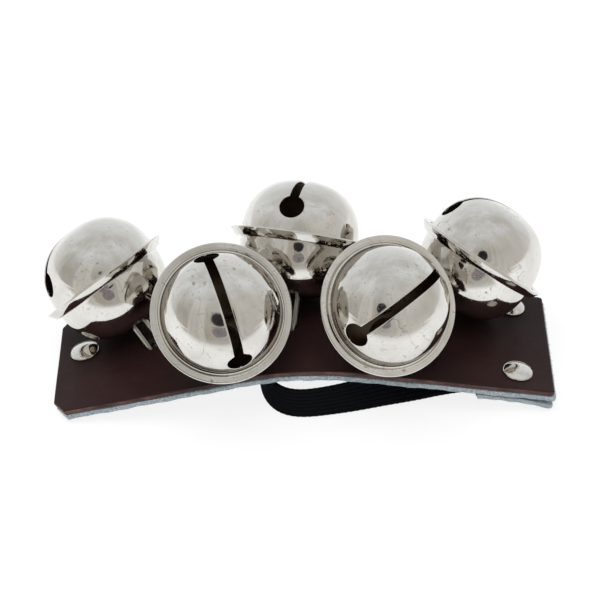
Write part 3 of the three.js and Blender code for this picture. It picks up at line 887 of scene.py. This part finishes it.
# wire drawn along each run of points, with rounded bends
wire_tree, start, size = geometry_tree(
    "drawn_wire",
    {"Wire radius": "NodeSocketFloat", "Bend": "NodeSocketFloat", "Finish": "NodeSocketMaterial"},
)
path = start.node("GeometryNodeMeshToCurve", {"Mesh": size["Geometry"]})
path = path.node(
    "GeometryNodeFilletCurve",
    {"Curve": path, "Count": BEND_STEPS, "Radius": size["Bend"], "Limit Radius": True},
    mode="POLY",
)
gauge = {0: size["Wire radius"], 1: size["Wire radius"], 2: 1.0}
section = start.node("GeometryNodeCurvePrimitiveCircle", {"Resolution": WIRE_SIDES})
section = section.node(
    "GeometryNodeTransform",
    {"Geometry": section, "Scale": start.node("ShaderNodeCombineXYZ", gauge)},
)
wire = path.node(
    "GeometryNodeCurveToMesh", {"Curve": path, "Profile Curve": section, "Fill Caps": True}
)
ends_in(wire_tree, wire, size["Finish"])

pin_places = [share * PIN_LENGTH for share in (-0.5, -0.25, 0.25, 0.5)]
pin_runs = [[seat @ Vector((0, y, -PIN_DEPTH)) for y in pin_places] for seat in seats.values()]
pins = loose_line("loop_pins", *pin_runs)
grown(pins, wire_tree, wire_radius=PIN_R, bend=PIN_BEND, finish=steel_finish)
smooth_by_angle(pins, CREASE)
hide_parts(*["loop_pin_" + name for name in BELLS])
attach(pins, "strap")

# Wire loops: nickel-plated wire bent to a narrow U round the pin. Both legs go up through
# the bottom of the bell, and are spread inside it.
SHEET = 0.5 * MM
BELL_CLEAR = 0.35 * MM
LOOP_R = 1.75 * MM
PRONG_REACH = 3 * MM
PRONG_BEND = 0.4 * MM
WIRE_RISE = 1.15 * MM
WIRE_BEND = 0.8 * MM
LOOP_POINTS = 19
INNER_R = BELL_R - SHEET
FULLNESS = 2.35

wire_finish, dull, dull_shader = finish("drawn_nickel_wire", {"Metallic": 1.0})
film = mottle(dull.node("ShaderNodeTexCoord", out="Object"), 600, 4)
feed(
    dull_shader,
    base_color=blended(film, (0.66, 0.63, 0.58, 1), (0.8, 0.78, 0.73, 1)),
    roughness=span(film, 0.3, 0.7, 0.28, 0.42),
    normal=relief(film, 0.2, 0.0002),
)


def to_centre(lean):
    """From the pin to the bell's middle: the leaning bowl stands just clear of the leather."""
    power = FULLNESS / (FULLNESS - 1)
    fill = math.cos(lean) ** power + math.sin(lean) ** power
    return (BELL_R * fill ** (1 / power) + PIN_DEPTH + BELL_CLEAR) / math.cos(lean)


bell_frames = {}
for name, (_, _, _, lean, _) in BELLS.items():
    lean = math.radians(lean)
    hung = seats[name] @ Matrix.Translation((0, 0, -PIN_DEPTH)) @ Matrix.Rotation(-lean, 4, "X")
    bell_frames[name] = hung @ Matrix.Translation((0, 0, to_centre(lean)))
    floor = to_centre(lean) - INNER_R + WIRE_RISE
    prong = [
        (LOOP_R, floor - PRONG_BEND),
        (LOOP_R + PRONG_BEND, floor + PRONG_BEND),
        (LOOP_R + PRONG_REACH, floor + PRONG_REACH / 2),
    ]
    half_turn = np.linspace(-math.pi, 0, LOOP_POINTS)
    bend = [(LOOP_R * math.cos(a), LOOP_R * math.sin(a)) for a in half_turn]
    legs = [(-x, z) for x, z in reversed(prong)] + bend + prong
    loop = loose_line("bell_wire_" + name, [hung @ Vector((x, 0, z)) for x, z in legs])
    grown(loop, wire_tree, wire_radius=WIRE_R, bend=WIRE_BEND, finish=wire_finish)
    smooth_by_angle(loop, CREASE)
    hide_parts("wire_loop_" + name)
    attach(loop, "bell_" + name)

# Bells: each is pressed from two round sheets, a bowl below and a dome above, and plated
# with nickel. The bowl's flange is folded over the dome's to hold the two together, and the
# dome has one long slot with a round hole at each end.
FLANGE_R = 16.8 * MM
HEM_GAP = 0.25 * MM
HEM_WIDTH = 1.85 * MM
HEM_ROUND = 0.32 * MM
HEM_DROP = 0.15 * MM
HEM_WALL = 0.12 * MM
LIP_RUN, LIP_FALL, LIP_STEP = 0.62 * MM, 0.14 * MM, 0.05 * MM
FLARE_LOW, FLARE_HIGH = math.radians(46), math.radians(28)
FLARE_ROWS = 12
BESIDE = 0.04 * MM
SLOT_WIDTH = 2.1 * MM
SLOT_HOLE_R = 3 * MM
SLOT_HOLE_ANGLE = 1.08
FILLET_OUT = 0.4 * MM
FILLET_TOP = 1.3 * MM
FILLET_IN = 0.02 * MM
FILLET_FROM = 0.25
DOME_SEAT, BOWL_SEAT = INNER_R + 0.1 * MM, INNER_R + 0.05 * MM
WIRE_HOLE_R = 0.85 * MM
WIRE_SLIT = 0.3 * MM
EDGE_STEPS, HOLE_STEPS = 30, 36
OUTER_ROWS, ROW_CROWDING = 30, 1.15
SLOT_ROLL = 0.16 * MM
SPREAD = math.radians(40)


def fuller(directions, radius):
    """Points of a pressed half, which is flatter on top and steeper at its sides than a ball."""
    side = np.linalg.norm(directions[:, :2], axis=1)
    fill = side**FULLNESS + np.abs(directions[:, 2]) ** FULLNESS
    return directions * (radius / fill ** (1 / FULLNESS))[:, None]


def keyhole(half, hole_r, hole_angle, radius):
    """Unit directions round a slot with a round hole at each end."""
    fill = math.sin(hole_angle) ** FULLNESS + math.cos(hole_angle) ** FULLNESS
    tilt = math.asin(hole_r / radius * fill ** (1 / FULLNESS))
    corner = math.pi - math.asin(half / hole_r)
    lift = math.asin(half / radius)
    axis = np.array([math.sin(hole_angle), 0, math.cos(hole_angle)])
    down = np.array([math.cos(hole_angle), 0, -math.sin(hole_angle)])
    across_it = np.array([0, 1.0, 0])
    hole = [
        math.cos(tilt) * axis
        + math.sin(tilt) * (math.cos(p) * down + math.sin(p) * across_it)
        for p in np.linspace(corner, -corner, HOLE_STEPS)
    ]
    stop = math.atan2(hole[0][0], hole[0][2])
    edge = [
        np.array([math.cos(lift) * math.sin(a), math.sin(lift), math.cos(lift) * math.cos(a)])
        for a in np.linspace(0, stop, EDGE_STEPS, endpoint=False)
    ]
    quarter_back = [d * np.array([1, -1, 1]) for d in edge[:0:-1]]
    half_round = edge + hole + quarter_back
    return np.array(half_round + [d * np.array([-1, -1, 1]) for d in half_round])


def rim_turns():
    """The angle on the flange that each point of the keyhole is drawn out to."""
    edge = list(np.linspace(math.pi / 2, SPREAD, EDGE_STEPS, endpoint=False))
    hole = list(np.linspace(SPREAD, -SPREAD, HOLE_STEPS))
    back = [-a for a in edge[:0:-1]]
    half_round = edge + hole + back
    return np.array(half_round + [a + math.pi for a in half_round])


def pressed_ring(inner_edge, rim, share, radius):
    """A ring on a pressed half, a share of the way from the keyhole to the rim."""
    cosine = np.clip(np.sum(inner_edge * rim, axis=1), -1, 1)
    angle = np.arccos(cosine)[:, None]
    ring = (np.sin((1 - share) * angle) * inner_edge + np.sin(share * angle) * rim) / np.sin(angle)
    return fuller(ring, radius)


def turned_ring(turns, radius, height):
    return np.stack(
        [radius * np.cos(turns), radius * np.sin(turns), np.full_like(turns, height)], axis=1
    )


def pressed_shell(half, hole_r, hole_angle, waist, flange, inside_waist):
    """Rings of a pressed half: outside, flange, inside, and back to the keyhole's edge."""
    turns = rim_turns()
    outward = turned_ring(turns, 1, 0)

    def rim_at(angle):
        return outward * math.cos(angle) + UP * math.sin(angle)

    def hole_ring(grow, radius):
        return keyhole(half + grow, hole_r + grow, hole_angle, radius)

    shares = np.linspace(0, 1, OUTER_ROWS) ** ROW_CROWDING
    outside = [
        pressed_ring(hole_ring(SLOT_ROLL, BELL_R), rim_at(waist), k, BELL_R) for k in shares
    ]
    rim = [turned_ring(turns, r, z) for r, z in flange]
    inside = [
        pressed_ring(hole_ring(SLOT_ROLL, INNER_R), rim_at(inside_waist), k, INNER_R)
        for k in shares[::-2]
    ]
    edge = []
    for turn in (0.25, 0.5, 0.75):
        grow = SLOT_ROLL * (1 - math.sin(math.pi * turn))
        radius = INNER_R + SHEET * (1 - math.cos(math.pi * turn)) / 2
        edge.append(fuller(hole_ring(grow, radius), radius))
    # the inside rings are marked 1, fading out round the slot's rolled edge; there the nickel is
    # painted dark brown as shade inside the bell, and made rougher
    inner = [0] * (len(outside) + len(rim)) + [1] * len(inside) + [0.6, 0.3, 0]
    return np.array(outside + rim + inside + edge), np.array(inner, float)


def shell_piece(name, rings, inner, frame_at, upside_down):
    """A pressed half from its rings, put in its place, with its inner side marked for painted
    shade.
    """
    rows, size = rings.shape[:2]
    points = rings.reshape(-1, 3).copy()
    if upside_down:
        points[:, 2] *= -1
    made = piece(name, points, tube_faces(rows, size, closed=True), nickel_finish)
    made.data.transform(frame_at)
    shade = made.data.attributes.new("inner", "FLOAT", "POINT")
    shade.data.foreach_set("value", np.repeat(inner, size).astype(np.float32))
    faced_outward(made)
    smooth_by_angle(made, CREASE)
    return made


def fillet(out, down_to, steps):
    """The flange's start, from the side of the bell round to a place farther out and lower."""
    return [
        (BELL_R + out * (1 - math.cos(a)) - FILLET_IN,
         FILLET_TOP - (FILLET_TOP - down_to) * math.sin(a))
        for a in np.linspace(FILLET_FROM, math.pi / 2, steps)
    ]


half_sheet = SHEET / 2
near = half_sheet + HEM_GAP
far = near + SHEET
waist = math.asin(FILLET_TOP / BELL_R)
lip = FLANGE_R - HEM_WIDTH
foot_r, foot = lip - BESIDE, near + LIP_FALL
tuck = FLANGE_R - SHEET - 2 * HEM_GAP
dome_flange = fillet(foot_r - BELL_R, foot, 9)
dome_flange += [(foot_r, foot - BESIDE), (foot_r, half_sheet)]
dome_flange += [(tuck, half_sheet), (tuck, -half_sheet), (DOME_SEAT, -half_sheet)]
dome_rings, dome_inner = pressed_shell(
    SLOT_WIDTH / 2, SLOT_HOLE_R, SLOT_HOLE_ANGLE, waist, dome_flange, 0.0
)

# the bowl is drawn upside down: its flange runs out below, rolls over, and comes back
round_out, round_up = FLANGE_R - HEM_ROUND, far - HEM_ROUND
quarter = np.linspace(0, math.pi / 2, 6)
hem_low = far + HEM_DROP
bowl_flange = fillet(FILLET_OUT, hem_low, 5)
flare_rows = np.linspace(hem_low, -round_up, FLARE_ROWS)
flare_ends = [math.tan(FLARE_HIGH), math.tan(FLARE_LOW)]
flare = np.interp(flare_rows, [-round_up, hem_low], flare_ends)
steps_in = np.concatenate([[0], np.cumsum(-np.diff(flare_rows) * (flare[1:] + flare[:-1]) / 2)])
flare_r = FLANGE_R - steps_in[-1] + steps_in
bowl_flange += [(flare_r[0] - BESIDE, hem_low), *zip(flare_r, flare_rows)]
bowl_flange += [
    (round_out + HEM_ROUND * math.cos(a), -round_up - HEM_ROUND * math.sin(a)) for a in quarter
]
fall = far - LIP_FALL
bowl_flange += [(round_out - BESIDE, -far), (lip + LIP_RUN + BESIDE, -far)]
bowl_flange += [(lip + LIP_RUN, -far), (lip + LIP_RUN - BESIDE, -far + LIP_STEP)]
bowl_flange += [(lip + LIP_RUN - 2 * BESIDE, -far + LIP_STEP), (lip + 3 * BESIDE, -fall)]
bowl_flange += [(lip + 2 * BESIDE, -fall), (lip, -fall + BESIDE), (lip, -near - BESIDE)]
fold_in = np.interp(-near, -flare_rows, flare_r) - HEM_WALL
bowl_flange += [(lip + 3 * BESIDE, -near), (FLANGE_R - SHEET, -near), (fold_in, near)]
bowl_flange += [(BOWL_SEAT, near)]
bowl_rings, bowl_inner = pressed_shell(
    WIRE_SLIT / 2,
    WIRE_HOLE_R,
    math.asin(LOOP_R / BELL_R),
    waist,
    bowl_flange,
    math.asin(near / INNER_R),
)

for name, (*_, slot_turn) in BELLS.items():
    turned_slot = bell_frames[name] @ Matrix.Rotation(math.radians(slot_turn), 4, "Z")
    dome = shell_piece("pressed_dome_" + name, dome_rings, dome_inner, turned_slot, False)
    bowl = shell_piece("pressed_bowl_" + name, bowl_rings, bowl_inner, bell_frames[name], True)
    for made, node in ((dome, "bell_dome_"), (bowl, "bell_bowl_")):
        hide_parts(node + name)
        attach(made, "bell_" + name)

# Pellets: one loose cast steel ball in each bell, too large for the slot and its holes. It
# lies at the lowest place inside until the bell is shaken.
PELLET_R = 4.5 * MM
PELLET_GAP = 0.3 * MM
PELLET_DENTS = 0.5 * MM
PELLET_CREASE = 60

pellet_tree, start, size = geometry_tree(
    "cast_pellet",
    {"Radius": "NodeSocketFloat", "Roughness": "NodeSocketFloat", "Place": "NodeSocketVector"},
)
ball = start.node("GeometryNodeMeshIcoSphere", {"Radius": size["Radius"], "Subdivisions": 5})
dents = mottle(start.node("GeometryNodeInputPosition"), 420, 3) - 0.5
outward = start.node("GeometryNodeInputNormal")
push = outward.node(
    "ShaderNodeVectorMath", {0: outward, "Scale": dents * size["Roughness"]}, operation="SCALE"
)
ball = ball.node("GeometryNodeSetPosition", {"Geometry": ball, "Offset": push})
ball = ball.node("GeometryNodeTransform", {"Geometry": ball, "Translation": size["Place"]})
ends_in(pellet_tree, ball, steel_finish)
for name in BELLS:
    low = bell_frames[name].translation - Vector((0, 0, INNER_R - PELLET_R - PELLET_GAP))
    pellet = loose_line("loose_pellet_" + name, [low])
    grown(pellet, pellet_tree, radius=PELLET_R, roughness=PELLET_DENTS, place=tuple(low))
    smooth_by_angle(pellet, PELLET_CREASE)
    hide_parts("pellet_" + name)
    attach(pellet, "pellet_" + name)

# Studio: a white table, a large soft lamp above, and a grey room that only the metal sees.
# The camera's place and lens are fitted to the photograph.
TABLE = 3.0
ROOM_R, ROOM_SIDES, ROOM_ROWS = 0.9, 72, 20
APRON = [(-1.0, -1.0), (1.0, -1.0), (0.3, -0.07), (-0.3, -0.07)]
APRON_RISE = 0.3 * MM
LAMP_SIZE = 1.1, 0.8
LAMP_PLACE = Vector((-0.15, -0.1, 1.0))
LAMP_AIM = Vector((0, 0, 0.02))
LAMP_POWER = 9
DISC_SIDES = 24
scene = bpy.context.scene
scene.view_settings.view_transform = "Standard"

table_finish, board, board_shader = finish(
    "white_table", {"Roughness": 0.9, "Base Color": (0.95, 0.95, 0.95, 1)}
)
table_tree = table_finish.node_tree
seen = board.node("ShaderNodeLightPath", out="Is Camera Ray")
mirrored = board.node("ShaderNodeLightPath", out="Is Glossy Ray")
# seen in reflections of reflections the table is painted brown and darker, a painted shade and
# reflection of the leather and bells
second_bounce_painted_shade = span(board.node("ShaderNodeLightPath", out="Ray Depth"), 1, 2)
table_tone = blended(mirrored, (1, 1, 1, 1), (0.92, 0.93, 0.94, 1))
table_tone = blended(second_bounce_painted_shade * 0.6, table_tone, (0.33, 0.27, 0.205, 1))
table_glow = board.node("ShaderNodeEmission", {"Color": table_tone, "Strength": 1.0})
paint = Thread(table_tree, board_shader.outputs[0])
lit_paint = {0: seen * 0.85 + mirrored * 0.7, 1: paint, 2: table_glow}
table_top = board.node("ShaderNodeMixShader", lit_paint)
table_tree.links.new(table_top.socket, table_tree.nodes["Material Output"].inputs["Surface"])
corners = [(x * TABLE, y * TABLE, 0) for x, y in ((-1, -1), (1, -1), (1, 1), (-1, 1))]
table = piece("table", corners, [(0, 1, 2, 3)], table_finish)
table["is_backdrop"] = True


def reflector(name, vertices, faces, material):
    """A screen that shows in the metal only."""
    made = piece(name, vertices, faces, material)
    made.visible_camera = made.visible_diffuse = made.visible_shadow = False
    made.visible_transmission = made.visible_volume_scatter = False
    made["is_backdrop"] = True


room_finish = bpy.data.materials.new("room_around")
room_finish.use_nodes = True
room_tree = room_finish.node_tree
room_tree.nodes.remove(room_tree.nodes["Principled BSDF"])
room = Thread(room_tree)
place = room.node("ShaderNodeTexCoord", out="Object")
depth, level = axis_of(place, 1), axis_of(place, 2)
bearing = stretched(place, 1, 1, 0)
bearing = bearing.node("ShaderNodeVectorMath", {0: bearing}, operation="NORMALIZE")
bars = mottle(bearing, 1.5, 2, 0.5)
panels = mottle(place, 3.4, 3, 0.6)
shade = mottle(place, 2.4, 3)
wall_tone = blended(span(bars, 0.46, 0.5), (0.44, 0.41, 0.355, 1), (0.64, 0.605, 0.55, 1))
wall_tone = blended(span(shade, 0.38, 0.62, 0, 0.45), wall_tone, (0.54, 0.55, 0.56, 1))
ceiling = blended(span(panels, 0.36, 0.64), (0.6, 0.595, 0.575, 1), (0.74, 0.76, 0.785, 1))
wall_tone = blended(span(level + depth * 0.5, 0.25, 0.72), wall_tone, ceiling)
wall_tone = blended(span(depth - level, -0.3, 0.75), wall_tone, (0.86, 0.885, 0.91, 1))
# seen in reflections of reflections the room is painted dark brown, a painted shade and reflection
# of the leather and bells
second_bounce_painted_shade = span(room.node("ShaderNodeLightPath", out="Ray Depth"), 1, 2)
wall_tone = blended(second_bounce_painted_shade * 0.55, wall_tone, (0.22, 0.175, 0.13, 1))
wall_glow = room.node("ShaderNodeEmission", {"Color": wall_tone, "Strength": 1.0})
clear = room.node("ShaderNodeBsdfTransparent")
solid = span(level * 20 + span(depth, -0.075, -0.15), 0, 1)
wall = room.node("ShaderNodeMixShader", {0: solid, 1: clear, 2: wall_glow})
room_tree.links.new(wall.socket, room_tree.nodes["Material Output"].inputs["Surface"])
bearings = np.linspace(0, 2 * math.pi, ROOM_SIDES, endpoint=False)
wall_points = np.concatenate([
    turned_ring(bearings, ROOM_R * math.cos(rise), ROOM_R * math.sin(rise))
    for rise in np.linspace(0, math.pi / 2, ROOM_ROWS)
])
reflector("room_screen", wall_points, tube_faces(ROOM_ROWS, ROOM_SIDES), room_finish)
# a grey sheet just above the table in front, seen only in the metal, so that the table in front
# shows grey in reflections
apron_points = [(x, y, APRON_RISE) for x, y in APRON]
reflector("room_floor", apron_points, [(0, 1, 2, 3)], room_finish)

lens_finish, casing, casing_shader = finish("camera_body", {"Roughness": 0.6})
grip = mottle(casing.node("ShaderNodeTexCoord", out="Object"), 60, 3)
feed(casing_shader, base_color=blended(grip, (0.002, 0.003, 0.007, 1), (0.007, 0.008, 0.014, 1)))
coat_finish, cloth, cloth_shader = finish("grey_coat", {"Roughness": 0.9})
folds = mottle(stretched(cloth.node("ShaderNodeTexCoord", out="Object"), 2, 1, 1), 12, 3)
feed(cloth_shader, base_color=blended(folds, (0.16, 0.145, 0.155, 1), (0.28, 0.255, 0.265, 1)))

lamp = bpy.data.objects.new("soft_lamp", bpy.data.lights.new("soft_lamp", "AREA"))
lamp.data.shape = "RECTANGLE"
lamp.data.size, lamp.data.size_y = LAMP_SIZE
lamp.data.energy = LAMP_POWER
lamp.location = LAMP_PLACE
lamp.visible_glossy = False
lamp.rotation_euler = (LAMP_AIM - LAMP_PLACE).to_track_quat("-Z", "Y").to_euler()
scene.collection.objects.link(lamp)

world = bpy.data.worlds.new("white_room")
world.use_nodes = True
scene.world = world
sky = Thread(world.node_tree)
direct, glossy, through = (
    sky.node("ShaderNodeLightPath", out=f"Is {kind} Ray")
    for kind in ("Camera", "Glossy", "Transmission")
)
white = span(direct + glossy + through, 0, 1)
around_light = world.node_tree.nodes["Background"]
dome_light = blended(white, (0.65, 0.65, 0.65, 1), (1, 1, 1, 1))
world.node_tree.links.new(dome_light.socket, around_light.inputs["Color"])

# camera: distance, height angle, turn, roll and lens fitted to the photograph
LOOK_AT = Vector((-0.003 * MM, 1.702 * MM, 9 * MM))
DISTANCE = 0.60106
CAM_HEIGHT, CAM_TURN, CAM_ROLL = (math.radians(a) for a in (37.82, 1.033, -2.09))
FOCAL = 2459.3
LOOK_PIXEL = (298.64, 335.06)
PHOTO = 600
SENSOR = 36
back = Vector((
    math.sin(CAM_TURN) * math.cos(CAM_HEIGHT),
    -math.cos(CAM_TURN) * math.cos(CAM_HEIGHT),
    math.sin(CAM_HEIGHT),
))
right = Vector((math.cos(CAM_TURN), math.sin(CAM_TURN), 0))
upward = back.cross(right)
right, upward = (
    math.cos(CAM_ROLL) * right + math.sin(CAM_ROLL) * upward,
    math.cos(CAM_ROLL) * upward - math.sin(CAM_ROLL) * right,
)
aim = Matrix((right, upward, back)).transposed()
aim = aim @ Matrix.Rotation((LOOK_PIXEL[1] - PHOTO / 2) / FOCAL, 3, "X")
aim = aim @ Matrix.Rotation((LOOK_PIXEL[0] - PHOTO / 2) / FOCAL, 3, "Y")
camera = bpy.data.objects.new("camera", bpy.data.cameras.new("camera"))
camera.data.sensor_width = SENSOR
camera.data.lens = FOCAL / PHOTO * SENSOR
camera.data.clip_start = 0.01
camera.matrix_world = Matrix.Translation(LOOK_AT + back * DISTANCE) @ aim.to_4x4()
scene.collection.objects.link(camera)
scene.camera = camera


def disc_behind(name, radius, below, behind, material):
    """A round screen facing the same way as the camera, below it and behind it."""
    turns = np.linspace(0, 2 * math.pi, DISC_SIDES, endpoint=False)
    spots = [Vector((radius * math.cos(a), radius * math.sin(a) - below, behind)) for a in turns]
    points = [camera.matrix_world @ spot for spot in spots]
    reflector(name, points, [list(range(DISC_SIDES))], material)


disc_behind("camera_dark", radius=0.11, below=0.035, behind=0.01, material=lens_finish)
disc_behind("photographer", radius=0.14, below=0.31, behind=0.05, material=coat_finish)

low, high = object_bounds()
